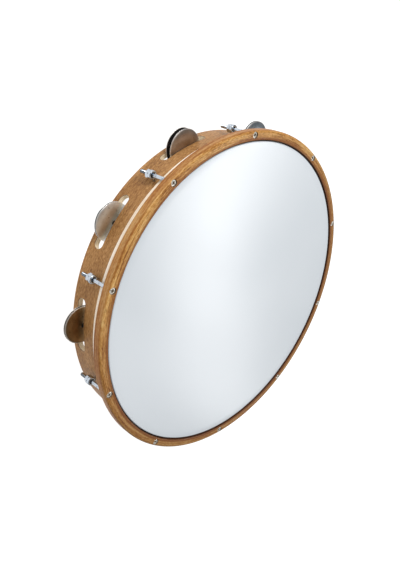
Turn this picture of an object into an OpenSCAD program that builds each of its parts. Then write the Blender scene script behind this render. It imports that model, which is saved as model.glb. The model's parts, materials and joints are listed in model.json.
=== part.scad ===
// Tambourine with a screw-tensioned head, ten tension screws and nine pairs of jingles.
// Millimetres. Origin at the centre of the shell's rear edge, +Z along the drum axis towards the head.

/* [Shell] */
// Outside diameter of the bent-wood shell
shell_d = 300; // [230:1:400]
// Thickness of the shell's wall
shell_wall = 5; // [4:0.5:8]
// Depth of the whole instrument, from the rear edge to the counterhoop's front
frame_depth = 52; // [42:1:80]
// Rounding of the shell's rear edges
rear_edge_round = 0.8; // [0.2:0.1:1.5]
// Rounding of the shell's front inner edge, under the head
bearing_round = 1.5; // [0.2:0.1:1.9]

/* [Head] */
// Thickness of the head's film
film_t = 0.25; // [0.1:0.05:1]
// Depth of the head below the counterhoop's front
head_recess = 1.2; // [0.6:0.1:6]
// Radial width of the flesh hoop that holds the film
flesh_w = 3.25; // [2:0.25:6]
// Height of the flesh hoop
flesh_h = 10; // [6:0.5:12]
// Rounding of the flesh hoop's outer edges
flesh_round = 0.6; // [0.2:0.1:0.9]
// Rounding of the flesh hoop's inner edges, against the film
flesh_inner_round = 0.2; // [0.05:0.05:0.4]

/* [Counterhoop] */
// Radial width of the counterhoop
hoop_w = 9; // [8.5:0.5:14]
// Height of the counterhoop
hoop_h = 8.5; // [7.5:0.5:14]
// Gap between the counterhoop and the film's collar
hoop_gap = 0.75; // [0.2:0.05:1.5]
// Rounding of the counterhoop's front outer edge
hoop_round_outer = 2.6; // [1:0.1:3.5]
// Rounding of the counterhoop's front inner edge
hoop_round_inner = 1; // [0.5:0.1:2.5]
// Rounding of the counterhoop's rear edges
hoop_round_rear = 0.7; // [0.2:0.1:1.5]

/* [Tension screws] */
// Number of tension screws; a pair of jingles lies in each space between them but the last, the grip
stations = 10; // [6:1:10]
// Diameter of the screws' shanks
rod_d = 3.4; // [3:0.1:5]
// Length of a screw from its head's face to its tip
rod_len = 40; // [32:1:42]
// Diameter of the countersunk heads
head_d = 5.8; // [5.6:0.1:8]
// Height of the straight rim of a head
head_land = 0.4; // [0.2:0.1:1]
// Depth of the heads below the counterhoop's front
head_sink = 0.6; // [0.2:0.1:2]
// Length and width of each arm of the cross recess
recess_len = 3.6; // [2:0.1:5]
recess_w = 0.9; // [0.5:0.1:1.5]
// Depth of the cross recess
recess_depth = 1.5; // [0.8:0.1:2.5]
// Radial gap between a screw and the flesh hoop
rod_gap = 0.8; // [0.2:0.05:2]
// Radial play of the screws in the counterhoop's holes
rod_play = 0.2; // [0.1:0.05:0.5]
// Radial play of a screw's head in its sinking
head_play = 0.1; // [0.05:0.05:0.3]

/* [Eye bolts] */
// Distance of the eyes' centres behind the counterhoop's front
eye_setback = 26.5; // [24:0.5:30]
// Radial width of the ring of an eye
eye_band = 2; // [1.5:0.1:4]
// Height of the ring of an eye
eye_h = 3; // [2:0.1:5]
// Rounding of the ring's edges
eye_round = 0.9; // [0.3:0.1:1]
// Radial play of a screw in its eye
eye_play = 0.3; // [0.2:0.05:0.6]
// Diameter of the eye bolts' shanks
stud_d = 3.4; // [3:0.1:5]
// Length of shank that stands out past its nut
stud_end = 1.2; // [0.5:0.1:3]
// Radial play of a shank in the shell's hole
stud_play = 0.1; // [0.05:0.05:0.4]
// Diameter and thickness of the washers inside the shell
washer_d = 9; // [7:0.5:12]
washer_t = 0.8; // [0.5:0.1:1.6]
// Gap between a flat washer's sides and the curved wall
washer_gap = 0.03; // [0.02:0.01:0.2]

/* [Nuts] */
// Width across the flats of every nut
nut_af = 7; // [6.5:0.5:9]
// Height of every nut
nut_h = 3.2; // [2.4:0.1:5]
// Gap between an eye and its tension nut
nut_gap = 0.1; // [0.05:0.05:0.5]
// Radial clearance of a nut on its thread
nut_clear = 0.05; // [0.02:0.01:0.1]

/* [Jingles] */
// Diameter of a jingle
jingle_d = 34.6; // [28:0.2:44]
// Height of a jingle's dome above its rim
jingle_h = 2.4; // [1.6:0.1:4]
// Thickness of a jingle's sheet metal
jingle_t = 0.6; // [0.4:0.05:1]
// Radial play of a jingle on its pin
jingle_play = 1; // [0.4:0.1:1.5]
// Free travel shared by the two jingles of a pair, along their pin
pair_travel = 4.7; // [3:0.1:8]
// Clear length of the slot at each end of the jingles
slot_end = 7.7; // [4:0.1:10]
// Width of wood between the rear edge and the slots
slot_edge = 6.45; // [4:0.05:12]

/* [Jingle pins] */
// Diameter of the pins
pin_d = 2; // [1.5:0.1:3]
// Diameter of the pins' flat heads
pin_head_d = 3; // [2.5:0.1:3.2]
// Height of the pins' flat heads
pin_head_h = 0.7; // [0.4:0.1:1]
// Depth of the heads below the shell's rear edge
pin_sink = 0.3; // [0.1:0.1:1]
// Depth to which a pin bites into the wood past its slot
pin_bite = 6; // [3:0.5:9]
// Length of the pins' points
pin_point = 1; // [0.5:0.1:2]

/* [Hidden] */
$fn = 96;
eps = 0.01;
cut_past = 5;                                   // how far a cutter runs past what it cuts

pairs = stations - 1;                           // the last space between screws is the plain grip
shell_r = shell_d / 2;
shell_in_r = shell_r - shell_wall;
head_z = frame_depth - head_recess;             // playing surface of the film
shell_h = head_z - film_t;
collar_r = shell_r + film_t;                    // outside of the film's collar
flesh_r = collar_r + flesh_w;
hoop_in_r = collar_r + hoop_gap;
hoop_out_r = hoop_in_r + hoop_w;
hoop_z = frame_depth - hoop_h;                  // the counterhoop bears on the flesh hoop here
flesh_z = hoop_z - flesh_h;

rod_r = rod_d / 2;
rod_circle_r = flesh_r + rod_gap + rod_r;
rod_top = frame_depth - head_sink;
rod_tip = rod_top - rod_len;
rod_tip_chamfer = 0.5;
head_cone = (head_d - rod_d) / 2;               // a 90 degree countersink

eye_z = frame_depth - eye_setback;
eye_in_r = rod_r + eye_play;
eye_out_r = eye_in_r + eye_band;
stud_r = stud_d / 2;
washer_face = sqrt(pow(shell_in_r, 2) - pow(washer_d / 2, 2)) - washer_gap;
stud_nut_face = washer_face - washer_t;
stud_tip = stud_nut_face - nut_h - stud_end;
nut_top = eye_z - eye_h / 2 - nut_gap;
nut_corner_r = nut_af / 2 / cos(30);
nut_chamfer = 0.35;
eye_cut_past = 0.2;                             // how far the cutters that trim the shank reach past an eye

jingle_r = jingle_d / 2;
jingle_hole_r = pin_d / 2 + jingle_play;
slot_h = 2 * jingle_h + pair_travel;
slot_len = jingle_d + 2 * slot_end;
slot_z = slot_edge + slot_h / 2;
pin_r = shell_r - shell_wall / 2;               // circle of the pins, in the middle of the wall
pin_top = slot_edge + slot_h + pin_bite;
pin_tip_r = 0.3;                                // a nail's point is blunt

// Where the two rims of each pair lie at rest, as shares of the pair's free travel from the
// slot's middle: +0.45 is close to the head, -0.45 is close to the rear edge.
front_rest = [0.44, -0.26, 0.44, 0.20, 0.44, 0.44, 0.44, 0.08, -0.26];
rear_rest = [0.26, -0.44, -0.10, -0.44, -0.44, 0.26, -0.44, -0.08, -0.44];

function screw_angle(k) = k * 360 / stations;
function slot_angle(k) = (k + 0.5) * 360 / stations;

// Copies of the children at every tension screw, about the drum axis.
module at_screws() {
    for (k = [0:stations - 1]) rotate(screw_angle(k)) children();
}

// Copies of the children at every jingle slot.
module at_slots() {
    for (k = [0:pairs - 1]) rotate(slot_angle(k)) children();
}

// A cross-section from x0 to x1 and y0 to y1 with each corner rounded by its own true arc:
// bottom left, bottom right, top right, top left.
module rounded_section(x0, x1, y0, y1, bl, br, tr, tl) {
    polygon([
        [x0 + bl, y0], [x1 - br, y0], [x1, y0 + br], [x1, y1 - tr],
        [x1 - tr, y1], [x0 + tl, y1], [x0, y1 - tl], [x0, y0 + bl]
    ]);
    translate([x0 + bl, y0 + bl]) circle(bl);
    translate([x1 - br, y0 + br]) circle(br);
    translate([x1 - tr, y1 - tr]) circle(tr);
    translate([x0 + tl, y1 - tl]) circle(tl);
}

// A hexagon nut standing on z = 0, its corners chamfered at both faces.
module hex_nut(bore_r) {
    difference() {
        intersection() {
            cylinder(h = nut_h, r = nut_corner_r, $fn = 6);
            union() {
                cylinder(h = nut_chamfer, r1 = nut_af / 2, r2 = nut_af / 2 + 2 * nut_chamfer);
                translate([0, 0, nut_chamfer])
                    cylinder(h = nut_h - 2 * nut_chamfer, r = nut_af / 2 + 2 * nut_chamfer);
                translate([0, 0, nut_h - nut_chamfer])
                    cylinder(h = nut_chamfer, r1 = nut_af / 2 + 2 * nut_chamfer, r2 = nut_af / 2);
            }
        }
        translate([0, 0, -cut_past]) cylinder(h = nut_h + 2 * cut_past, r = bore_r);
    }
}

// The opening for one pair of jingles: a stadium cut straight through the wall along +X.
module slot_cut() {
    straight = slot_len - slot_h;
    translate([shell_in_r - cut_past, 0, slot_z]) rotate([90, 0, 90])
        linear_extrude(shell_wall + 2 * cut_past) {
            square([straight, slot_h], center = true);
            for (side = [-1, 1]) translate([side * straight / 2, 0]) circle(slot_h / 2);
        }
}

// Shell: the bent ring of wood with its slots, pin holes and eye-bolt holes.
module shell() {
    color("#a57a4e") difference() {
        rotate_extrude()
            rounded_section(shell_in_r, shell_r, 0, shell_h,
                rear_edge_round, rear_edge_round, film_t, bearing_round);
        at_slots() {
            slot_cut();
            translate([pin_r, 0, -eps]) {
                cylinder(h = pin_top + eps, r = pin_d / 2);
                cylinder(h = pin_sink + pin_head_h + eps, r = pin_head_d / 2);
            }
        }
        at_screws()
            translate([shell_in_r - cut_past, 0, eye_z]) rotate([0, 90, 0])
                cylinder(h = shell_wall + 2 * cut_past, r = stud_r + stud_play);
    }
}

// Head: a flat sheet of film over the shell's front, turned down outside it as a collar.
module head_film() {
    color("white") rotate_extrude() polygon([
        [0, shell_h], [shell_r, shell_h], [shell_r, flesh_z], [collar_r, flesh_z],
        [collar_r, head_z - film_t], [collar_r - film_t, head_z], [0, head_z]
    ]);
}

// Flesh hoop: the pale ring that grips the film's collar.
module flesh_hoop() {
    color("#f5e6d3") rotate_extrude()
        rounded_section(collar_r, flesh_r, flesh_z, hoop_z,
            flesh_inner_round, flesh_round, flesh_round, flesh_inner_round);
}

// Counterhoop: the wooden hoop that the tension screws pull down on the flesh hoop.
module counterhoop() {
    color("#b98a4e") difference() {
        rotate_extrude()
            rounded_section(hoop_in_r, hoop_out_r, hoop_z, frame_depth,
                hoop_round_rear, hoop_round_rear, hoop_round_outer, hoop_round_inner);
        at_screws() translate([rod_circle_r, 0, 0]) {
            translate([0, 0, hoop_z - cut_past])
                cylinder(h = hoop_h + 2 * cut_past, r = rod_r + rod_play);
            translate([0, 0, rod_top - head_land - head_cone])
                cylinder(h = head_cone + head_play, r1 = rod_r, r2 = head_d / 2 + head_play);
            translate([0, 0, rod_top - head_land + head_play])
                cylinder(h = cut_past, r = head_d / 2 + head_play);
        }
    }
}

// One tension screw: a countersunk head with a cross recess, on a long shank.
module tension_screw() {
    difference() {
        union() {
            translate([0, 0, rod_top - head_land]) cylinder(h = head_land, r = head_d / 2);
            translate([0, 0, rod_top - head_land - head_cone])
                cylinder(h = head_cone, r1 = rod_r, r2 = head_d / 2);
            translate([0, 0, rod_tip + rod_tip_chamfer])
                cylinder(h = rod_len - rod_tip_chamfer - head_land, r = rod_r);
            translate([0, 0, rod_tip])
                cylinder(h = rod_tip_chamfer, r1 = rod_r - rod_tip_chamfer, r2 = rod_r);
        }
        for (turn = [0, 90]) rotate(turn)
            translate([-recess_len / 2, -recess_w / 2, rod_top - recess_depth])
                cube([recess_len, recess_w, recess_depth + cut_past]);
    }
}

// Tension screws: all ten.
module tension_screws() {
    color("#c3c9cf") at_screws() translate([rod_circle_r, 0, 0]) tension_screw();
}

// Eye bolts: a ring round each screw on a shank that passes through the shell.
module eye_bolts() {
    color("#c3c9cf") at_screws() difference() {
        union() {
            translate([rod_circle_r, 0, eye_z]) rotate_extrude()
                rounded_section(eye_in_r, eye_out_r, -eye_h / 2, eye_h / 2,
                    eye_round, eye_round, eye_round, eye_round);
            translate([stud_tip, 0, eye_z]) rotate([0, 90, 0])
                cylinder(h = rod_circle_r - eye_in_r - eye_band / 2 - stud_tip, r = stud_r);
        }
        for (side = [-1, 1]) translate([rod_circle_r, 0, eye_z + side * (eye_h / 2 + cut_past)])
            cylinder(h = 2 * cut_past, r = eye_out_r + eye_cut_past, center = true);
    }
}

// Washers under the eye bolts' nuts, inside the shell.
module eye_bolt_washers() {
    color("#c3c9cf") at_screws() translate([washer_face - washer_t, 0, eye_z]) rotate([0, 90, 0])
        difference() {
            cylinder(h = washer_t, r = washer_d / 2);
            translate([0, 0, -cut_past]) cylinder(h = washer_t + 2 * cut_past, r = stud_r + stud_play);
        }
}

// Nuts that hold the eye bolts, inside the shell.
module eye_bolt_nuts() {
    color("#c3c9cf") at_screws()
        translate([stud_nut_face - nut_h, 0, eye_z]) rotate([0, 90, 0]) hex_nut(stud_r + nut_clear);
}

// Jingle pins: nails driven from the rear edge, through each slot, into the wood beyond.
module jingle_pins() {
    color("#9a9a98") at_slots() translate([pin_r, 0, 0]) {
        translate([0, 0, pin_sink]) cylinder(h = pin_head_h, r = pin_head_d / 2);
        translate([0, 0, pin_sink]) cylinder(h = pin_top - pin_sink - pin_point, r = pin_d / 2);
        translate([0, 0, pin_top - pin_point])
            cylinder(h = pin_point, r1 = pin_d / 2, r2 = pin_tip_r);
    }
}

// Tension nut number k: turned on the screw, it draws the counterhoop down.
module tension_nut(k) {
    color("#c3c9cf") rotate(screw_angle(k - 1))
        translate([rod_circle_r, 0, nut_top - nut_h]) hex_nut(rod_r + nut_clear);
}

// Height of a jingle's outer surface over its rim plane at radius r: a flat crown with a
// shoulder that falls away as the fourth power of the radius.
function dome(r) = (jingle_h - jingle_t) * (1 - pow(r / jingle_r, 4));

// One jingle with its rim on z = 0 and its dome towards +Z, bored for the pin.
module jingle() {
    steps = 8;
    radii = [for (i = [0:steps]) jingle_hole_r + (jingle_r - jingle_hole_r) * sqrt(i / steps)];
    rotate_extrude() polygon(concat(
        [for (r = radii) [r, dome(r)]],
        [for (i = [steps:-1:0]) [radii[i], dome(radii[i]) + jingle_t]]
    ));
}

// Front jingle of pair k: its dome towards the head.
module front_jingle(k) {
    color("#b9b4ab") rotate(slot_angle(k - 1))
        translate([pin_r, 0, slot_z + front_rest[k - 1] * pair_travel]) jingle();
}

// Rear jingle of pair k: its dome towards the rear edge.
module rear_jingle(k) {
    color("#b9b4ab") rotate(slot_angle(k - 1))
        translate([pin_r, 0, slot_z + rear_rest[k - 1] * pair_travel]) mirror([0, 0, 1]) jingle();
}

shell();
head_film();
flesh_hoop();
counterhoop();
tension_screws();
eye_bolts();
eye_bolt_washers();
eye_bolt_nuts();
jingle_pins();
for (k = [1:stations])
    tension_nut(k);
for (k = [1:pairs]) {
    front_jingle(k);
    rear_jingle(k);
}
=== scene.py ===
import json
import math

import bmesh
import bpy
import numpy as np
from mathutils import Matrix, Vector


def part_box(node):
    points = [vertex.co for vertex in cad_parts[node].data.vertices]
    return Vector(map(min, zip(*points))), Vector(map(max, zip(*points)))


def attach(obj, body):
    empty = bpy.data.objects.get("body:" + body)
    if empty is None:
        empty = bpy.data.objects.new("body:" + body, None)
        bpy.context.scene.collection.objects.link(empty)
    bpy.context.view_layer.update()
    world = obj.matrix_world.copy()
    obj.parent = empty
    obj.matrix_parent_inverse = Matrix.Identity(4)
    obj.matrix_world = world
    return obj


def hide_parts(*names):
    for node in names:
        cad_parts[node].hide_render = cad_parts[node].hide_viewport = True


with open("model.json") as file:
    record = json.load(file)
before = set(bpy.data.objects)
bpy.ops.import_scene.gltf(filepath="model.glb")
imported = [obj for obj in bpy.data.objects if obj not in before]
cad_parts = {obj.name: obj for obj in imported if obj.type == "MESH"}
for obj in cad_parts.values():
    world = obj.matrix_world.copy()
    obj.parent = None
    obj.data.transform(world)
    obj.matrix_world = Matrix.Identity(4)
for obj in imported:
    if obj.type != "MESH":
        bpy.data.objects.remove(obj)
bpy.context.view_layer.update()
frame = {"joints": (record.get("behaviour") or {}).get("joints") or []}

MM = 0.001
TURN = 2 * math.pi


# ---------------------------------------------------------------- sizes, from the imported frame

def box(node):
    """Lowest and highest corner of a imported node, as two arrays."""
    return [np.array(corner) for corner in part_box(node)]


STATIONS = sum(j["name"].startswith("tension_nut") for j in frame["joints"])
SECTOR = TURN / STATIONS
SCREW_CIRCLE = frame["joints"][0]["pos_m"][0]
PAIRS = sum(j["name"].startswith("front_jingle") for j in frame["joints"])
screw_angles = np.arange(STATIONS) * SECTOR
slot_angles = screw_angles[:PAIRS] + SECTOR / 2
grip_angles = screw_angles[PAIRS:] + SECTOR / 2

shell_r, shell_top = box("shell")[1][[0, 2]]
shell_wall = 5 * MM
shell_in_r = shell_r - shell_wall
rear_round = 0.8 * MM
slot_edge_round = 0.35 * MM

head_r, head_top = box("head_film")[1][[0, 2]]
collar_bottom = box("head_film")[0][2]
flesh_r, flesh_top = box("flesh_hoop")[1][[0, 2]]
flesh_bottom = box("flesh_hoop")[0][2]

hoop_r, hoop_top = box("counterhoop")[1][[0, 2]]
hoop_bottom = box("counterhoop")[0][2]
hoop_width = 9 * MM
hoop_in_r = hoop_r - hoop_width
hoop_rounds = [0.7 * MM, 2.6 * MM, 1 * MM, 0.7 * MM]      # rear outer, front outer, front inner, rear inner
hoop_arc = 14                                             # steps in the arc of each of those corners
ply = 1.66 * MM                                           # thickness of one ply of bent wood

screw_tip, screw_top = box("tension_screws")[0][2], box("tension_screws")[1][2]
screw_head_r = box("tension_screws")[1][0] - SCREW_CIRCLE
screw_r = 1.7 * MM
thread_pitch = 0.7 * MM

nut_bottom, nut_top = box("tension_nut_1")[0][2], box("tension_nut_1")[1][2]
nut_height = nut_top - nut_bottom
nut_flat = 3.5 * MM                # from a nut's axis to the middle of a flat
eye_height = box("eye_bolts")[1][2] - box("eye_bolts")[0][2]
eye_z = (box("eye_bolts")[0][2] + box("eye_bolts")[1][2]) / 2
eye_band = 2 * MM
eye_in_r = box("eye_bolts")[1][0] - SCREW_CIRCLE - eye_band
stud_r = 1.7 * MM
stud_start = 139.9 * MM           # radius of the eye bolts' inner ends
washer_face = shell_in_r - 0.1 * MM
washer_thick, washer_r = 0.8 * MM, 4.5 * MM

jingle_r = (box("front_jingle_3")[1][0] - box("front_jingle_3")[0][0]) / 2
jingle_rise = box("front_jingle_3")[1][2] - box("front_jingle_3")[0][2]
jingle_sheet = 0.6 * MM
jingle_hole_r = 2 * MM
pin_circle = shell_r - shell_wall / 2
pin_r, pin_head_r, pin_head_height = 1 * MM, 1.45 * MM, 0.7 * MM
pin_bottom, pin_top = box("jingle_pins")[0][2], box("jingle_pins")[1][2]
pin_hole_r, pin_hole_depth = 1.6 * MM, 1.1 * MM

slot_height = 9.5 * MM
slot_middle = 11.2 * MM
slot_end = 7.7 * MM
slot_straight = 2 * jingle_r + 2 * slot_end - slot_height


# ---------------------------------------------------------------- surfaces

class Skin:
    """Grids of points that are welded into one closed mesh with outward faces."""

    def __init__(self):
        self.points, self.quads, self.finishes, self.count = [], [], [], 0

    def grid(self, points, finish=0):
        """Adds a (rows, columns, 3) array, or a stack of them, as quads between neighbouring points."""
        points = np.asarray(points, float)
        stack = points.reshape(-1, *points.shape[-3:])
        for sheet in stack:
            rows, columns = sheet.shape[:2]
            index = np.arange(rows * columns).reshape(rows, columns) + self.count
            quads = np.stack([index[:-1, :-1], index[1:, :-1], index[1:, 1:], index[:-1, 1:]], -1)
            self.points.append(sheet.reshape(-1, 3))
            self.quads.append(quads.reshape(-1, 4))
            self.finishes.append(np.full(len(self.quads[-1]), finish))
            self.count += rows * columns
        return self

    def piece(self, name, paints, sharp=40.0):
        """The welded mesh as an object: doubles merged, then normals turned outwards, creases kept."""
        mesh = bpy.data.meshes.new(name)
        mesh.from_pydata(np.concatenate(self.points).tolist(), [], np.concatenate(self.quads).tolist())
        mesh.polygons.foreach_set("material_index", np.concatenate(self.finishes).astype(np.int32))
        work = bmesh.new()
        work.from_mesh(mesh)
        bmesh.ops.remove_doubles(work, verts=work.verts, dist=0.002 * MM)
        bmesh.ops.dissolve_degenerate(work, edges=work.edges, dist=0.001 * MM)
        bmesh.ops.recalc_face_normals(work, faces=work.faces)
        work.to_mesh(mesh)
        work.free()
        mesh.shade_smooth()
        mesh.set_sharp_from_angle(angle=math.radians(sharp))
        for paint in paints:
            mesh.materials.append(paint)
        piece = bpy.data.objects.new(name, mesh)
        bpy.context.scene.collection.objects.link(piece)
        return piece


def polar(radius, angle, height):
    """Points from cylinder coordinates: (r cos a, r sin a, z)."""
    radius, angle, height = np.broadcast_arrays(radius, angle, height)
    return np.stack([radius * np.cos(angle), radius * np.sin(angle), height], -1)


def lathe(profile, steps=48, sweep=(0.0, TURN)):
    """A profile of (radius, height) points turned about Z: row i, column j is profile i at angle j."""
    profile = np.asarray(profile, float)
    angle = np.linspace(*sweep, steps + 1)
    return polar(profile[:, :1], angle[None, :], profile[:, 1:])


def at_angles(grid, angles):
    """A stack of copies of a grid, each turned about the drum axis by one of the angles."""
    c, s = np.cos(angles), np.sin(angles)
    zero, one = np.zeros_like(c), np.ones_like(c)
    turn = np.stack([np.stack([c, s, zero], -1), np.stack([-s, c, zero], -1),
                     np.stack([zero, zero, one], -1)], -2)
    return np.einsum("rcx,kxy->krcy", grid, turn)


def along_x(grid):
    """A grid made about Z, laid along X: its Z becomes X, its X becomes -Z."""
    return np.stack([grid[..., 2], grid[..., 1], -grid[..., 0]], -1)


def rounded(corners, radii, steps=6):
    """A closed outline through the corners, each replaced by a true arc of its own radius.

    The arc touches both sides at distance r / tan(half the corner's angle) from the corner, and its
    centre lies on the corner's bisector at r / sin(half the angle).
    """
    corners = np.asarray(corners, float)
    outline = []
    for i, (corner, radius) in enumerate(zip(corners, radii)):
        back = corners[i - 1] - corner
        ahead = corners[(i + 1) % len(corners)] - corner
        back, ahead = back / np.linalg.norm(back), ahead / np.linalg.norm(ahead)
        half = math.acos(np.clip(back @ ahead, -1, 1)) / 2
        bisector = (back + ahead) / np.linalg.norm(back + ahead)
        centre = corner + bisector * radius / math.sin(half)
        start = corner + back * radius / math.tan(half) - centre
        stop = corner + ahead * radius / math.tan(half) - centre
        t = np.linspace(0, 1, steps + 1)[:, None]
        sweep = math.pi - 2 * half
        arc = start * np.sin((1 - t) * sweep) + stop * np.sin(t * sweep)
        outline.append(centre + arc / math.sin(sweep))
    return np.concatenate(outline)


def closed(outline):
    """The outline with its first point repeated at its end."""
    return np.concatenate([outline, outline[:1]])


def border(long_steps, short_steps, half, low, high):
    """A rectangle's outline from its lower left corner, as (across, up): bottom, right, top, left."""
    run = np.linspace(-half, half, long_steps + 1)
    rise = np.linspace(low, high, short_steps + 1)
    return np.concatenate([
        np.stack([run[:-1], np.full(long_steps, low)], -1),
        np.stack([np.full(short_steps, half), rise[:-1]], -1),
        np.stack([run[:0:-1], np.full(long_steps, high)], -1),
        np.stack([np.full(short_steps, -half), rise[:0:-1]], -1)])


def stadium(long_steps, short_steps, straight, radius):
    """A stadium's outline from its lower left 45 degree point, with as many points as a border has.

    Each side takes half of both end arcs next to it, and its points are evenly spaced along it.
    """
    def arc(centre, first, last):
        t = np.radians(np.linspace(first, last, 65))
        return np.stack([centre + radius * np.cos(t), radius * np.sin(t)], -1)

    end = straight / 2
    path = np.concatenate([arc(-end, 225, 270), arc(end, 270, 450), arc(-end, 90, 225)])
    length = np.concatenate([[0], np.cumsum(np.linalg.norm(np.diff(path, axis=0), axis=1))])
    side, cap = straight + radius * math.pi / 2, radius * math.pi / 2
    cuts = np.array([0, side, side + cap, 2 * side + cap, 2 * side + 2 * cap])
    cuts = cuts * length[-1] / cuts[-1]
    at = np.concatenate([np.linspace(a, b, n, endpoint=False) for a, b, n in
                         zip(cuts[:-1], cuts[1:], (long_steps, short_steps) * 2)])
    return np.stack([np.interp(at, length, path[:, 0]), np.interp(at, length, path[:, 1])], -1)


def ruled(inner, outer, rows, power=1.0):
    """Rows from one closed outline to another: inner + (outer - inner) * v ** power, v from 0 to 1."""
    v = (np.linspace(0, 1, rows + 1) ** power)[:, None, None]
    inner, outer = closed(inner)[None], closed(outer)[None]
    return inner + (outer - inner) * v


# ---------------------------------------------------------------- materials

def tone(red, green, blue):
    """A display colour of 0 to 255 as linear red, green, blue, alpha."""
    c = np.array([red, green, blue]) / 255
    linear = np.where(c <= 0.04045, c / 12.92, ((c + 0.055) / 1.055) ** 2.4)
    return (*(float(x) for x in linear), 1.0)


class Value:
    """A shader socket whose arithmetic adds Math nodes to its material."""

    def __init__(self, paint, socket):
        self.paint, self.socket = paint, socket

    def math(self, operation, *others):
        return self.paint.node("ShaderNodeMath", {"operation": operation}, dict(enumerate([self, *others])))

    def __add__(self, other):
        return self.math("ADD", other)

    def __sub__(self, other):
        return self.math("SUBTRACT", other)

    def __mul__(self, other):
        return self.math("MULTIPLY", other)

    def __pow__(self, other):
        return self.math("POWER", other)

    def __rsub__(self, other):
        """Number - self, as self * -1 + number."""
        return self.math("MULTIPLY_ADD", -1.0, other)

    __radd__ = __add__
    __rmul__ = __mul__


class Paint:
    """One node material, built by node() around a single Principled shader.

    Object coordinates are in metres, so a factor of 560 on them gives noise features of about 1 / 560 m.
    """

    def __init__(self, name, **constants):
        self.material = bpy.data.materials.new(name)
        self.material.use_nodes = True
        self.nodes, self.links = self.material.node_tree.nodes, self.material.node_tree.links
        self.shader = self.nodes["Principled BSDF"]
        for socket, value in constants.items():
            self.shader.inputs[socket.replace("_", " ")].default_value = value

    def node(self, kind, settings=None, inputs=None, output=0):
        """Adds a node: its settings first, a ramp's stops among them, then its sockets' values or links."""
        node = self.nodes.new(kind)
        for key, value in (settings or {}).items():
            if key == "stops":
                self.set_stops(node.color_ramp, value)
            else:
                setattr(node, key, value)
        for key, value in (inputs or {}).items():
            if isinstance(value, Value):
                self.links.new(value.socket, node.inputs[key])
            else:
                node.inputs[key].default_value = value
        return Value(self, node.outputs[output])

    @staticmethod
    def set_stops(ramp, stops):
        """Gives a colour ramp its stops, as (place, colour) pairs."""
        while len(ramp.elements) < len(stops):
            ramp.elements.new(0.5)
        for element, (place, colour) in zip(ramp.elements, stops):
            element.position, element.color = place, colour

    def set(self, **values):
        """Links values to the shader's sockets."""
        for socket, value in values.items():
            self.links.new(value.socket, self.shader.inputs[socket.replace("_", " ")])
        return self.material

    def place(self):
        """Object coordinates as x, y, z values."""
        coordinates = self.node("ShaderNodeTexCoord", output=3)
        parts = self.nodes.new("ShaderNodeSeparateXYZ")
        self.links.new(coordinates.socket, parts.inputs[0])
        return [Value(self, parts.outputs[i]) for i in range(3)]

    def radius(self, x, y):
        """Distance from the Z axis."""
        return (x * x + y * y) ** 0.5

    def vector(self, x, y, z):
        return self.node("ShaderNodeCombineXYZ", inputs={0: x, 1: y, 2: z})

    def noise(self, vector, w=0.0, detail=2.0, rough=0.5):
        """Four-dimensional noise of about 0.2 to 0.8."""
        return self.node("ShaderNodeTexNoise", {"noise_dimensions": "4D"}, {
            "Vector": vector, "W": w, "Scale": 1.0, "Detail": detail, "Roughness": rough})

    def step(self, value, low, high):
        """A smooth step from 0 at low to 1 at high."""
        return self.node("ShaderNodeMapRange", {"interpolation_type": "SMOOTHSTEP"}, {
            "Value": value, "From Min": low, "From Max": high})

    def ramp(self, value, *stops):
        return self.node("ShaderNodeValToRGB", {"stops": stops}, {0: value})

    def mix(self, share, first, second):
        return self.node("ShaderNodeMix", {"data_type": "RGBA"}, {0: share, 6: first, 7: second}, 2)

    def bump(self, height, distance, strength=1.0):
        return self.node("ShaderNodeBump", inputs={
            "Strength": strength, "Distance": distance, "Height": height})


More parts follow.
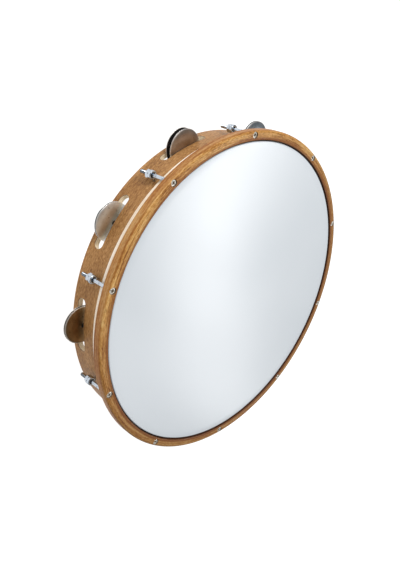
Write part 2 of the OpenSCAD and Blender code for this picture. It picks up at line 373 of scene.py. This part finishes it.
def bent_wood(name, dark, middle, light, fleck, streak, speckle, gloss, plies=False, painted_shade=0.0):
    """Varnished wood whose grain runs round the ring.

    The grain is noise that changes slowly along the ring and fast across it, in height and in radius;
    the speckle is a finer noise of the same kind, and flecks are the pores, where the finest one passes a
    threshold. The counterhoop alone gets more: its front is darker towards both edges, one side of
    the ring is painted darker as painted shade, and its inner wall by the head is painted shade.
    """
    paint = Paint(name, Coat_Weight=gloss, Coat_Roughness=0.16, Specular_IOR_Level=0.12)
    x, y, z = paint.place()
    radius = paint.radius(x, y)
    grain = paint.noise(paint.vector(x * 24, y * 24, z * 560), radius * 560, detail=4, rough=0.62)
    clouds = paint.noise(paint.vector(x * 17, y * 17, z * 60), radius * 60, detail=2)
    speck = paint.noise(paint.vector(x * 340, y * 340, z * 1100), radius * 1100, detail=2, rough=0.6)
    pores = paint.noise(paint.vector(x * 260, y * 260, z * 1500), radius * 1500, detail=2, rough=0.6)
    pore = paint.step(pores, 0.56, 0.66)
    cloudy = 0.3
    shade = grain * streak + speck * speckle + clouds * cloudy + 0.5 * (1 - streak - speckle - cloudy)
    colour = paint.ramp(shade, (0.32, dark), (0.5, middle), (0.68, light))
    colour = paint.mix(pore * 0.5, colour, fleck)
    if plies:
        wave = (radius * (TURN / ply)).math("SINE")
        colour = paint.mix(paint.step(wave, 0.1, 0.8) * 0.6, colour, fleck)
    if painted_shade:
        edge_wobble = clouds * (2 * MM) - 1 * MM
        edges = 1 - paint.step(radius + edge_wobble, hoop_in_r + 1.9 * MM, hoop_in_r + 3.6 * MM)
        edges = edges + paint.step(radius, hoop_r - 1 * MM, hoop_r - 0.2 * MM) * 0.7
        colour = paint.mix(edges * 0.75, colour, tone(132, 72, 26))
        # Painted shade: one side of the ring, which falls in shade, is painted a darker reddish brown.
        painted_side_shade = paint.step(x * 0.34 + y * 0.94, -0.13, 0.03)
        colour = paint.mix(painted_side_shade * 0.5, colour, tone(112, 62, 26))
        # Painted shade: the inner wall next to the head, which lies in shade, is painted dark brown.
        inside = 1 - paint.step(radius, hoop_in_r + 0.2 * MM, hoop_in_r + 0.9 * MM)
        colour = paint.mix(inside * painted_shade, colour, tone(60, 32, 16))
    rough = 0.42 + grain * 0.16 + pore * 0.1
    relief = paint.bump(grain * 0.5 - pore + speck * 0.3, 0.05 * MM, 0.5)
    return paint.set(Base_Color=colour, Roughness=rough, Normal=relief)


def cut_wood(name):
    """The slots' sawn faces: pale raw wood with fibres along the ring, thin glue lines between plies and a
    dark band at the outer lip."""
    paint = Paint(name, Specular_IOR_Level=0.25)
    x, y, z = paint.place()
    radius = paint.radius(x, y)
    fibre = paint.noise(paint.vector(x * 90, y * 90, z * 900), radius * 1500, detail=4, rough=0.65)
    glue = paint.step((radius * (TURN / ply)).math("SINE"), 0.86, 0.99)
    colour = paint.ramp(fibre, (0.3, tone(210, 180, 140)), (0.5, tone(240, 220, 186)),
                        (0.7, tone(248, 234, 208)))
    colour = paint.mix(glue * 0.45, colour, tone(120, 78, 42))
    lip = paint.step(radius, shell_r - 0.6 * MM, shell_r - 0.2 * MM)
    colour = paint.mix(lip * 0.8, colour, tone(82, 46, 24))
    return paint.set(Base_Color=colour, Roughness=0.6 + fibre * 0.25,
                     Normal=paint.bump(fibre, 0.12 * MM, 0.6))


def drum_film():
    """Opaque white film: smooth, with a soft gloss and the faintest mottle."""
    paint = Paint("drum_film", Specular_IOR_Level=0.6)
    x, y, z = paint.place()
    mottle = paint.noise(paint.vector(x * 9, y * 9, z), detail=2)
    fine = paint.noise(paint.vector(x * 1300, y * 1300, z * 1300), detail=2)
    colour = paint.mix(mottle, tone(224, 231, 237), tone(231, 237, 242))
    rough = 0.18 + mottle * 0.08
    return paint.set(Base_Color=colour, Roughness=rough, Normal=paint.bump(fine, 0.004 * MM, 0.4))


def cream_hoop():
    """The flesh hoop: cream, satin, with slight yellowing in long patches."""
    paint = Paint("cream_hoop", Specular_IOR_Level=0.4)
    x, y, z = paint.place()
    patch = paint.noise(paint.vector(x * 30, y * 30, z * 400), detail=3)
    colour = paint.ramp(patch, (0.3, tone(236, 216, 188)), (0.6, tone(252, 242, 226)))
    return paint.set(Base_Color=colour, Roughness=0.4 + patch * 0.2,
                     Normal=paint.bump(patch, 0.05 * MM, 0.4))


def zinc_steel():
    """Bright zinc plate: a bluish grey with fine crystal mottle and darker, rougher handling marks.

    The screws' heads are worn yellower and duller, and their recesses are painted dark as painted shade.
    """
    paint = Paint("zinc_steel")
    x, y, z = paint.place()
    crystal = paint.noise(paint.vector(x * 1400, y * 1400, z * 1400), detail=3, rough=0.6)
    marks = paint.step(paint.noise(paint.vector(x * 260, y * 260, z * 260), detail=3), 0.52, 0.7)
    colour = paint.ramp(crystal, (0.3, tone(156, 166, 178)), (0.7, tone(212, 220, 228)))
    colour = paint.mix(marks * 0.5, colour, tone(96, 102, 108))
    sunk = paint.step(z, screw_top - 0.65 * MM, screw_top - 0.45 * MM)
    top = paint.step(z, hoop_bottom, hoop_bottom + 1 * MM)
    colour = paint.mix(top * 0.7, colour, tone(238, 230, 212))
    # Painted shade: the cross recesses, and the heads' sides below their rims, are painted near black.
    colour = paint.mix(top * (1 - sunk) * 0.85, colour, tone(24, 22, 20))
    return paint.set(Base_Color=colour, Roughness=0.14 + crystal * 0.12 + marks * 0.16 + top * 0.26,
                     Metallic=1.0 - marks * 0.1, Normal=paint.bump(crystal, 0.02 * MM, 0.5))


def pin_steel():
    """Drawn wire: grey steel with fine lines along its length."""
    paint = Paint("pin_steel", Metallic=1.0)
    x, y, z = paint.place()
    drawn = paint.noise(paint.vector(x * 3000, y * 3000, z * 120), detail=3)
    colour = paint.ramp(drawn, (0.3, tone(120, 118, 114)), (0.7, tone(196, 194, 190)))
    return paint.set(Base_Color=colour, Roughness=0.28 + drawn * 0.2,
                     Normal=paint.bump(drawn, 0.02 * MM, 0.5))


def jingle_tin(name, centre, tarnished, bare):
    """Tinned sheet: turning marks in rings about the jingle's own centre, dull patches, dark specks, and a
    rim painted bright as a painted highlight."""
    paint = Paint(name, Metallic=1.0)
    x, y, z = paint.place()
    x, y = x - float(centre[0]), y - float(centre[1])
    radius = paint.radius(x, y)
    rings = paint.noise(paint.vector(radius * 1800, 0.0, float(centre[0]) * 40), detail=3, rough=0.7)
    patch = paint.noise(paint.vector(x * 90, y * 90, z * 90), float(centre[1]) * 30, detail=4, rough=0.6)
    dents = paint.noise(paint.vector(x * 130, y * 130, z * 130), 3.0 + float(centre[0]) * 20, detail=1)
    speck = paint.step(paint.noise(paint.vector(x * 700, y * 700, z * 700), 7.0, detail=1), 0.69, 0.76)
    rim = paint.step(radius, jingle_r - 1.1 * MM, jingle_r - 0.5 * MM)
    colour = paint.ramp(patch * 0.8 + rings * 0.2, (0.3, tarnished), (0.7, bare))
    colour = paint.mix(speck * 0.8, colour, tone(58, 46, 36))
    # Painted highlight: the rim is painted near white.
    colour = paint.mix(rim * 0.6, colour, tone(238, 236, 232))
    rough = 0.24 + patch * 0.16 + rings * 0.1 + speck * 0.3
    relief = (rings * 0.12 + dents * 2.2 - speck * 0.5) * (1 - rim)
    return paint.set(Base_Color=colour, Roughness=rough, Normal=paint.bump(relief, 0.06 * MM, 0.6))


def jingle_inside():
    """The hollow side of the jingles, which lies in shade: painted dark as painted shade, with lighter
    patches.
    """
    paint = Paint("jingle_inside", Metallic=0.6)
    x, y, z = paint.place()
    shade_mottle = paint.noise(paint.vector(x * 160, y * 160, z * 160), detail=4, rough=0.6)
    # Painted shade: the hollow side is painted near black, mottled lighter.
    colour = paint.ramp(shade_mottle, (0.35, tone(34, 32, 34)), (0.7, tone(86, 82, 80)))
    return paint.set(Base_Color=colour, Roughness=0.4 + shade_mottle * 0.2,
                     Normal=paint.bump(shade_mottle, 0.04 * MM, 0.5))


SHELL_WOOD = bent_wood("shell_wood", tone(116, 74, 36), tone(164, 118, 68), tone(196, 150, 96),
                       tone(96, 58, 30), 0.3, 0.7, 0.08)
REAR_WOOD = bent_wood("rear_edge_wood", tone(150, 110, 70), tone(186, 146, 102), tone(208, 172, 130),
                      tone(128, 86, 52), 0.5, 0.5, 0.2, plies=True)
HOOP_WOOD = bent_wood("hoop_wood", tone(132, 78, 32), tone(202, 146, 78), tone(238, 196, 128),
                      tone(88, 46, 16), 0.9, 0.5, 0.08, painted_shade=0.9)
SLOT_WOOD = cut_wood("slot_wood")
FILM, CREAM, ZINC, PIN_STEEL = drum_film(), cream_hoop(), zinc_steel(), pin_steel()
JINGLE_INSIDE = jingle_inside()
# Four pairs have their own tarnished and bare tone, by the pair's number; pair 9's dark brown is partly
# patina and partly painted shade.
PLAIN_TIN = tone(150, 140, 132), tone(208, 200, 192)
TIN_TONES = {
    6: (tone(112, 120, 126), tone(168, 176, 184)),
    7: (tone(136, 122, 110), tone(188, 176, 166)),
    8: (tone(186, 190, 192), tone(238, 242, 244)),
    9: (tone(100, 76, 46), tone(158, 130, 94)),
}


# ---------------------------------------------------------------- pieces

LONG, SHORT = 56, 16          # steps along and across one sector's border
RIM_ROWS = 6                  # rows of points over a small rounded edge
VARNISHED, SAWN, REAR = range(3)   # the order of the finishes of the wooden pieces


def wall(radius, hole_growth):
    """One sector of a shell wall: rows from the slot's outline to the sector's border, on a cylinder."""
    edge = border(LONG, SHORT, SECTOR / 2, rear_round, shell_top - slot_edge_round)
    hole = stadium(LONG, SHORT, slot_straight, slot_height / 2 + hole_growth)
    hole = np.stack([np.arcsin(hole[:, 0] / radius), slot_middle + hole[:, 1]], -1)
    flat = ruled(hole, edge, rows=10, power=1.2)
    return polar(radius, flat[..., 0], flat[..., 1])


def slot_tube():
    """The slot's sawn face: stadium outlines at depths from the outer to the inner wall.

    Its lips are quarter circles: the outline grows by e(1 - sin a) as the depth changes by e(1 - cos a).
    """
    a = np.linspace(0, math.pi / 2, RIM_ROWS)
    growth = slot_edge_round * (1 - np.sin(a))
    inset = slot_edge_round * (1 - np.cos(a))
    growth = np.concatenate([growth, growth[::-1]])
    radius = np.concatenate([shell_r - inset, (shell_in_r + inset)[::-1]])
    rows = [closed(stadium(LONG, SHORT, slot_straight, slot_height / 2 + g)) for g in growth]
    rows = np.stack(rows)
    across = np.sqrt(radius[:, None] ** 2 - rows[..., 0] ** 2)
    return np.stack([across, rows[..., 0], slot_middle + rows[..., 1]], -1)


def lip(radius, height, round_r, outward, upward):
    """A quarter-round edge of one sector, from the wall at (radius, height) towards the flat face."""
    a = np.linspace(0, math.pi / 2, RIM_ROWS)[:, None]
    angle = np.linspace(-SECTOR / 2, SECTOR / 2, LONG + 1)[None]
    return polar(radius - outward * round_r * (1 - np.cos(a)), angle, height + upward * round_r * np.sin(a))


def rear_face():
    """The shell's flat rear edge in one sector, from the pin's hole to the sector's border."""
    edge = border(LONG, SHORT, SECTOR / 2, shell_in_r + rear_round, shell_r - rear_round)
    edge = polar(edge[:, 1], edge[:, 0], 0.0)[:, :2]
    hole = stadium(LONG, SHORT, 0.0, pin_hole_r)
    hole = np.stack([pin_circle + hole[:, 1], hole[:, 0]], -1)
    flat = ruled(hole, edge, rows=4, power=2.0)
    face = np.concatenate([flat, np.zeros_like(flat[..., :1])], -1)
    depth = np.array([0.0, pin_hole_depth, pin_hole_depth])[:, None, None]
    spread = np.array([1.0, 1.0, 0.0])[:, None, None]
    middle = np.array([pin_circle, 0.0])
    ring = closed(hole)[None]
    well = np.concatenate([middle + (ring - middle) * spread, depth + 0 * ring[..., :1]], -1)
    return face, well


def plain_patch(first, last):
    """A sector without a slot: rows evenly spaced from first to last, columns as a border's long side."""
    angle = np.linspace(-SECTOR / 2, SECTOR / 2, LONG + 1)[None]
    return np.linspace(first, last, SHORT + 1)[:, None], angle


def shell_piece():
    """The bent shell: two slotted walls, the slots between them, a rounded rear edge with nail holes."""
    skin = Skin()
    all_angles = np.concatenate([slot_angles, grip_angles])
    height, angle = plain_patch(rear_round, shell_top - slot_edge_round)
    for radius in (shell_r, shell_in_r):
        skin.grid(at_angles(polar(radius, angle, height), grip_angles), VARNISHED)
    across, angle = plain_patch(shell_in_r + rear_round, shell_r - rear_round)
    skin.grid(at_angles(polar(across, angle, 0.0), grip_angles), REAR)
    skin.grid(at_angles(wall(shell_r, slot_edge_round), slot_angles), VARNISHED)
    skin.grid(at_angles(wall(shell_in_r, slot_edge_round), slot_angles), VARNISHED)
    skin.grid(at_angles(slot_tube(), slot_angles), SAWN)
    face, well = rear_face()
    skin.grid(at_angles(face, slot_angles), REAR)
    skin.grid(at_angles(well, slot_angles), SAWN)
    for radius, outward in ((shell_r, 1), (shell_in_r, -1)):
        skin.grid(at_angles(lip(radius, rear_round, rear_round, outward, -1), all_angles), REAR)
        top = shell_top - slot_edge_round
        skin.grid(at_angles(lip(radius, top, slot_edge_round, outward, 1), all_angles), VARNISHED)
    inner, outer = shell_in_r + slot_edge_round, shell_r - slot_edge_round
    across = np.linspace(inner, outer, 3)[:, None]
    skin.grid(at_angles(polar(across, angle, shell_top), all_angles), VARNISHED)
    return skin.piece("shell_bent", [SHELL_WOOD, SLOT_WOOD, REAR_WOOD], sharp=50)


def hoop_section():
    """The counterhoop's section as (radius, height): its outer side, the front, then its inner side."""
    corners = [(hoop_r, hoop_bottom), (hoop_r, hoop_top), (hoop_in_r, hoop_top), (hoop_in_r, hoop_bottom)]
    return rounded(corners, hoop_rounds, hoop_arc)


def counterhoop_piece():
    """The counterhoop: each sector's front runs from the screw's hole to a border in (angle, arc length).

    The section is followed by arc length, so a grid point is section(length) turned to its angle; the
    hole's outline is a circle in plan, whose distance from the drum axis gives its arc length.
    """
    section = hoop_section()
    steps = np.linalg.norm(np.diff(closed(section), axis=0), axis=1)
    length = np.concatenate([[0], np.cumsum(steps)])
    loop = closed(section)

    def on_section(angle, at):
        return polar(np.interp(at, length, loop[:, 0]), angle, np.interp(at, length, loop[:, 1]))

    side_height, past_corner, head_play, sink = 4.3 * MM, 1.2 * MM, 0.12 * MM, 0.75 * MM
    corner = hoop_arc + 1
    side = slice(hoop_arc, 2 * corner)
    front = slice(hoop_arc, 3 * corner + 1)
    low = np.interp(side_height, loop[side, 1] - hoop_bottom, length[side])
    high = length[3 * corner] + past_corner
    plan = stadium(LONG, 2 * SHORT, 0.0, screw_head_r + head_play)
    x, y = SCREW_CIRCLE - plan[:, 1], plan[:, 0]
    reach = np.hypot(x, y)
    hole = np.stack([np.arctan2(y, x), np.interp(-reach, -loop[front, 0], length[front])], -1)
    sheet = ruled(hole, border(LONG, 2 * SHORT, SECTOR / 2, low, high), rows=16, power=1.3)
    face = on_section(sheet[..., 0], sheet[..., 1])

    rim = face[0]
    sunk = rim.copy()
    sunk[:, 2] = screw_top - sink
    centre = np.broadcast_to([SCREW_CIRCLE, 0.0, screw_top - sink - 0.3 * MM], rim.shape)
    well = np.stack([rim, rim + (sunk - rim) * 0.12, sunk, centre])

    rest = np.unique(np.concatenate([[high], length[length > high]]))
    lower = np.unique(np.concatenate([length[length < low], [low]]))
    angle = np.linspace(-SECTOR / 2, SECTOR / 2, LONG + 1)[None]
    skin = Skin()
    skin.grid(at_angles(face, screw_angles), VARNISHED)
    skin.grid(at_angles(well, screw_angles), SAWN)
    skin.grid(at_angles(on_section(angle, rest[:, None]), screw_angles), VARNISHED)
    skin.grid(at_angles(on_section(angle, lower[:, None]), screw_angles), VARNISHED)
    return skin.piece("counterhoop_bent", [HOOP_WOOD, SLOT_WOOD], sharp=50)


def ring_piece(name, corners, radii, paint, steps=240):
    """A ring whose section is a rounded outline of (radius, height) corners, turned about the axis."""
    outline = closed(rounded(corners, radii))
    return Skin().grid(lathe(outline, steps)).piece(name, [paint])


def head_piece():
    """The film: flat to the shell's bearing edge, over it in a tight curve, then down as the collar."""
    thick = head_top - shell_top
    bend = 1.0 * MM
    a = np.linspace(math.pi / 2, 0, 7)[:, None]
    over = np.concatenate([head_r - bend + bend * np.cos(a), head_top - bend + bend * np.sin(a)], 1)
    flat = np.stack([np.linspace(0, head_r - bend, 24, endpoint=False), np.full(24, head_top)], -1)
    top = np.concatenate([flat, over, [[head_r, collar_bottom]]])
    under = np.concatenate([[[head_r - thick, collar_bottom], [head_r - thick, shell_top - bend]],
                            [[head_r - bend, shell_top], [0, shell_top]]])
    return Skin().grid(lathe(np.concatenate([top, under]), 240)).piece("head_sheet", [FILM])


def threaded(radius, start, stop, pitch, around=20):
    """A screw thread: radius - depth * triangle(z / pitch - angle / turn).

    It fades out over its last turn, at stop, and is a little thinner over its first one, at start.
    """
    depth, rows_per_turn = 0.54 * pitch, 6
    rows = int(round((stop - start) / pitch * rows_per_turn))
    z = np.linspace(start, stop, rows + 1)[:, None]
    angle = np.linspace(0, TURN, around + 1)[None]
    phase = z / pitch - angle / TURN
    ridge = 2 * np.abs(phase - np.floor(phase) - 0.5)
    lead = np.clip((z - start) / pitch, 0, 1)
    run_out = np.clip((stop - z) / pitch, 0, 1)
    cut = depth * ridge * run_out + (1 - lead) * 0.25 * depth
    return polar(radius - cut, angle, z)


head_spans = np.array([0, .12, .2, .28, .36, .44, .5, .54, .58, .64, .72, .8, .88, .94, .98])
head_crown = 0.3 * MM


def cross_recess_head():
    """The screw's head from above: a polar grid whose height drops inside a four-armed cross.

    The cross's depth at (x, y) is 1 where either arm's rectangle |x| < length, |y| < width holds, with
    sides that slope like a driver's tip. The head falls towards its rim as the square of the radius.
    """
    radius = screw_head_r * head_spans[:, None]
    angle = np.linspace(0, TURN, 65)[None]
    x, y = radius * np.cos(angle), radius * np.sin(angle)
    arm, half, deep, slope = 1.8 * MM, 0.6 * MM, 1.3 * MM, 0.16 * MM

    def inside(u, v):
        return np.clip((arm - np.abs(u)) / slope, 0, 1) * np.clip((half - np.abs(v)) / slope, 0, 1)

    depth = np.maximum(inside(x, y), inside(y, x)) * deep * (1 - 0.5 * radius / arm).clip(0.2, 1)
    crown = head_crown * (radius / screw_head_r) ** 2
    return np.stack([x, y, screw_top - depth - crown], -1)


def screw_grids():
    """One tension screw on the Z axis: recessed head, cone, plain shank, threaded end."""
    chamfer, land, edge = 0.35 * MM, 0.4 * MM, 0.06 * MM
    thread_top = screw_tip + 14.5 * MM
    cone = screw_head_r - screw_r
    rim = screw_top - head_crown * head_spans[-1] ** 2
    profile = [(screw_head_r * head_spans[-1], rim), (screw_head_r, rim - edge),
               (screw_head_r, screw_top - land),
               (screw_r, screw_top - land - cone), (screw_r, thread_top)]
    tip = [(screw_r * 0.83, screw_tip + chamfer), (screw_r * 0.6, screw_tip), (0, screw_tip)]
    grids = [cross_recess_head(), lathe(profile, 64)]
    grids.append(threaded(screw_r, screw_tip + chamfer, thread_top, thread_pitch, 24))
    grids.append(lathe(tip, 24))
    return grids


def hex_nut(bore, height):
    """A hexagon nut on z = 0: radius(angle) = flat / cos(angle from the nearest flat's middle).

    Its corners are cut back by a 30 degree cone at both faces: the cone meets each side at the height
    (radius - face radius) * tan 30 from the face.
    """
    angle = np.linspace(0, TURN, 73)[None]
    near = (angle + math.pi / 6) % (math.pi / 3) - math.pi / 6
    side = nut_flat / np.cos(near)
    face_r = nut_flat * 0.97
    drop = (side - face_r) * math.tan(math.radians(30))
    bevel = 0.25 * MM
    outline = [(bore, height / 2), (bore, bevel), (bore + bevel, 0), (face_r, 0), (side, drop),
               (side, height - drop), (face_r, height), (bore + bevel, height), (bore, height - bevel),
               (bore, height / 2)]
    return np.concatenate([polar(radius, angle, z) for radius, z in outline])


def eye_grids():
    """One eye bolt: a rounded band round the screw, and a threaded shank along X through the shell."""
    low, high = -eye_height / 2, eye_height / 2
    outer = eye_in_r + eye_band
    band = closed(rounded([(eye_in_r, low), (outer, low), (outer, high), (eye_in_r, high)], [0.9 * MM] * 4))
    ring = lathe(band, 40) + np.array([SCREW_CIRCLE, 0, eye_z])
    stop = SCREW_CIRCLE - eye_in_r - eye_band * 0.5
    thread_stop = shell_in_r + 1 * MM
    inside = threaded(stud_r, stud_start, thread_stop, thread_pitch, 20)
    plain = lathe([(stud_r, thread_stop), (stud_r, shell_r + 0.2 * MM), (stud_r * 1.05, stop)], 20)
    tip = lathe([(stud_r * 0.85, stud_start), (0, stud_start - 0.3 * MM)], 20)
    shank = [along_x(grid) + np.array([0, 0, eye_z]) for grid in (inside, plain, tip)]
    return [ring, *shank]


def repeated(name, grids, angles, paint, sharp=40.0):
    """One piece with a copy of the grids at every angle."""
    skin = Skin()
    for grid in grids:
        skin.grid(at_angles(grid, angles))
    return skin.piece(name, [paint], sharp)


def washer_grids():
    """One washer inside the shell, its axis along X."""
    low, high = washer_face - washer_thick, washer_face
    corners = [(stud_r, low), (washer_r, low), (washer_r, high), (stud_r, high)]
    outline = closed(rounded(corners, [0.12 * MM] * 4, 3))
    return [along_x(lathe(outline, 40)) + np.array([0, 0, eye_z])]


def stud_nut_grids():
    """One nut inside the shell, its axis along X, against its washer."""
    start = washer_face - washer_thick - nut_height
    return [along_x(hex_nut(stud_r, nut_height)) + np.array([start, 0, eye_z])]


def pin_grids():
    """One nail: a flat head in the rear edge, a plain shank and a point."""
    head = pin_bottom + pin_head_height
    bevel = 0.15 * MM
    profile = [(0, pin_bottom), (pin_head_r - bevel, pin_bottom), (pin_head_r, pin_bottom + bevel),
               (pin_head_r, head), (pin_r, head), (pin_r, pin_top - 1.5 * MM), (0, pin_top)]
    return [lathe(profile, 24) + np.array([pin_circle, 0, 0])]


def jingle_piece(name):
    """One jingle: a crown that falls as the fourth power of the radius, closed by rolled edges.

    Outer height over the rim = (rise - sheet) * (1 - (r / R) ** 4) + sheet; the inner surface lies one
    sheet below it, and both end in half rounds at the hole and the rim.
    """
    low, high = box(name)
    centre = (low + high) / 2
    up = 1 if name.startswith("front") else -1
    t = np.linspace(0, 1, 22)
    half = jingle_sheet / 2
    radius = jingle_hole_r + half + (jingle_r - jingle_hole_r - 2 * half) * t ** 0.8
    middle = (jingle_rise - jingle_sheet) * (1 - (radius / jingle_r) ** 4) + half
    a = np.linspace(math.pi / 2, -math.pi / 2, 8)[1:-1]
    rim = np.stack([radius[-1] + half * np.cos(a), middle[-1] + half * np.sin(a)], -1)
    bore = np.stack([radius[0] - half * np.cos(a[::-1]), middle[0] + half * np.sin(a[::-1])], -1)
    outer = np.stack([radius, middle + half], -1)
    inner = np.stack([radius, middle - half], -1)[::-1]
    skin = Skin()
    for finish, outline in enumerate([np.concatenate([inner[-1:], bore, outer, rim, inner[:1]]), inner]):
        grid = lathe(outline, 84)
        grid[..., 2] = (grid[..., 2] - jingle_rise / 2) * up
        skin.grid(grid + centre, finish)
    tones = TIN_TONES.get(int(name.rsplit("_", 1)[1]), PLAIN_TIN)
    return skin.piece(name + "_disc", [jingle_tin("tin_of_" + name, centre, *tones), JINGLE_INSIDE])


def finish_piece(piece, body, node):
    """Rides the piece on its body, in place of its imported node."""
    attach(piece, body)
    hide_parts(node)


finish_piece(shell_piece(), "frame", "shell")
finish_piece(counterhoop_piece(), "frame", "counterhoop")
finish_piece(head_piece(), "frame", "head_film")
flesh = [(head_r, flesh_bottom), (flesh_r, flesh_bottom), (flesh_r, flesh_top), (head_r, flesh_top)]
finish_piece(ring_piece("flesh_ring", flesh, [0.2 * MM, 0.9 * MM, 0.9 * MM, 0.2 * MM], CREAM),
             "frame", "flesh_hoop")
on_circle = np.array([SCREW_CIRCLE, 0, 0])
finish_piece(repeated("tension_screw_set", [g + on_circle for g in screw_grids()], screw_angles, ZINC),
             "frame", "tension_screws")
finish_piece(repeated("eye_bolt_set", eye_grids(), screw_angles, ZINC), "frame", "eye_bolts")
finish_piece(repeated("washer_set", washer_grids(), screw_angles, ZINC), "frame", "eye_bolt_washers")
finish_piece(repeated("stud_nut_set", stud_nut_grids(), screw_angles, ZINC, 25), "frame", "eye_bolt_nuts")
finish_piece(repeated("pin_set", pin_grids(), slot_angles, PIN_STEEL), "frame", "jingle_pins")
for k in range(STATIONS):
    nut = f"tension_nut_{k + 1}"
    grid = hex_nut(screw_r + 0.05 * MM, nut_height) + np.array([SCREW_CIRCLE, 0, nut_bottom])
    finish_piece(repeated(nut + "_hex", [grid], screw_angles[k:k + 1], ZINC, 25), nut, nut)
for k in range(PAIRS):
    for side in ("front", "rear"):
        jingle = f"{side}_jingle_{k + 1}"
        finish_piece(jingle_piece(jingle), jingle, jingle)


# ---------------------------------------------------------------- stage, light and camera

def floor():
    """A plain pale floor: a wide square just under the rear edge."""
    reach, drop = 9.0, 0.2 * MM
    corners = np.array([[[-reach, -reach, -drop], [reach, -reach, -drop]],
                        [[-reach, reach, -drop], [reach, reach, -drop]]])
    paint = Paint("pale_floor", Roughness=0.9, Specular_IOR_Level=0.1, Base_Color=tone(150, 150, 150),
                  Emission_Color=tone(255, 255, 255), Emission_Strength=0.97)
    Skin().grid(corners).piece("pale_floor", [paint.material])


def softbox(name, start, stop, width, power, target=(0, 0, 0.05)):
    """A rectangular area light whose long side runs from start to stop, facing a target."""
    start, stop = Vector(start), Vector(stop)
    middle = (start + stop) / 2
    along = (stop - start).normalized()
    back = (middle - Vector(target)).normalized()
    back = (back - along * back.dot(along)).normalized()
    light = bpy.data.lights.new(name, "AREA")
    light.shape, light.energy = "RECTANGLE", power
    light.size, light.size_y = (stop - start).length, width
    lamp = bpy.data.objects.new(name, light)
    turn = Matrix([along, back.cross(along), back]).transposed()
    lamp.matrix_world = Matrix.Translation(middle) @ turn.to_4x4()
    bpy.context.scene.collection.objects.link(lamp)


def room(strength):
    """An even white surround."""
    world = bpy.data.worlds.new("studio")
    world.use_nodes = True
    world.node_tree.nodes["Background"].inputs[0].default_value = (1, 1, 1, 1)
    world.node_tree.nodes["Background"].inputs[1].default_value = strength
    bpy.context.scene.world = world


def camera():
    """The camera: it looks at a point near the head's middle, rolled about its line of sight."""
    place, target = Vector((0.0352, -0.4942, 0.3981)), Vector((0.0051, -0.0268, 0.0283))
    roll = math.radians(116.9)
    lens = bpy.data.cameras.new("camera")
    lens.sensor_width, lens.lens, lens.clip_start, lens.clip_end = 36, 39.71, 0.01, 60
    lens.shift_x, lens.shift_y = -0.0021, -0.0003
    eye = bpy.data.objects.new("camera", lens)
    level = (target - place).to_track_quat("-Z", "Y").to_matrix().to_4x4()
    eye.matrix_world = Matrix.Translation(place) @ level @ Matrix.Rotation(roll, 4, "Z")
    bpy.context.scene.collection.objects.link(eye)
    bpy.context.scene.camera = eye


bpy.context.scene.view_settings.view_transform = "Standard"
floor()
room(0.28)
softbox("key", (-1.6, -0.7, 1.3), (-0.8, -1.3, 1.3), width=1.0, power=26)
softbox("strip", (-0.88, 1.22, 1.3), (-0.26, 1.36, 1.3), width=0.24, power=4.6)
softbox("strip_middle", (-0.26, 1.36, 1.3), (0.03, 1.7, 1.3), width=0.26, power=2.4)
softbox("strip_end", (0.03, 1.7, 1.3), (0.42, 2.15, 1.3), width=0.3, power=2.3)
softbox("fill", (0.15, 1.15, 1.3), (0.75, 1.15, 1.3), width=0.6, power=1.6)
camera()
